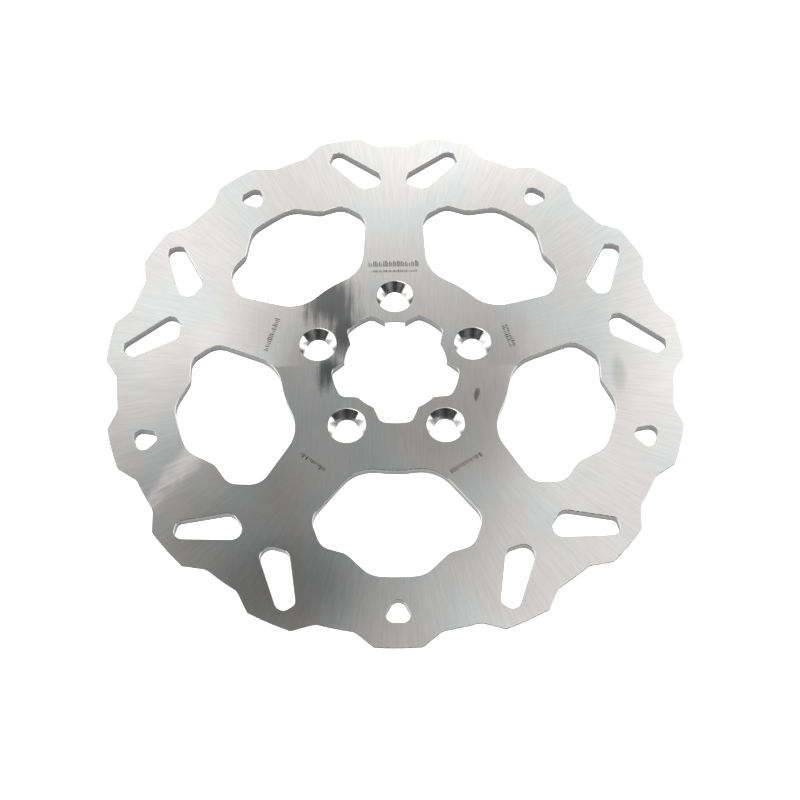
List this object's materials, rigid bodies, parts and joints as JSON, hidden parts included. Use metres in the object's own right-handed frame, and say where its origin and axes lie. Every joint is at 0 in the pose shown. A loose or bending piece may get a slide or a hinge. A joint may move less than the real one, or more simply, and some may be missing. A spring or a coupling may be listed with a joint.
{
  "type": "brake disc",
  "caption": "Flat wave-rimmed brake disc with open windows, leaning slots, drop-shaped holes and countersunk bolt holes round a pocketed hub opening.",
  "frame": {"origin": "on the axis of the bolt circle, in the plane of the back face that seats on the hub", "axes": "+Z out of the front face, where the countersinks open; +Y through the middle of one bolt hole; +X to the right"},
  "size_m": [0.292, 0.2908, 0.0051],
  "materials": {
    "disc_steel": "ground stainless steel, fine grain across the brake band, satin cut edges"
  },
  "bodies": {
    "root": {"brake_disc": "disc_steel"}
  },
  "joints": []
}
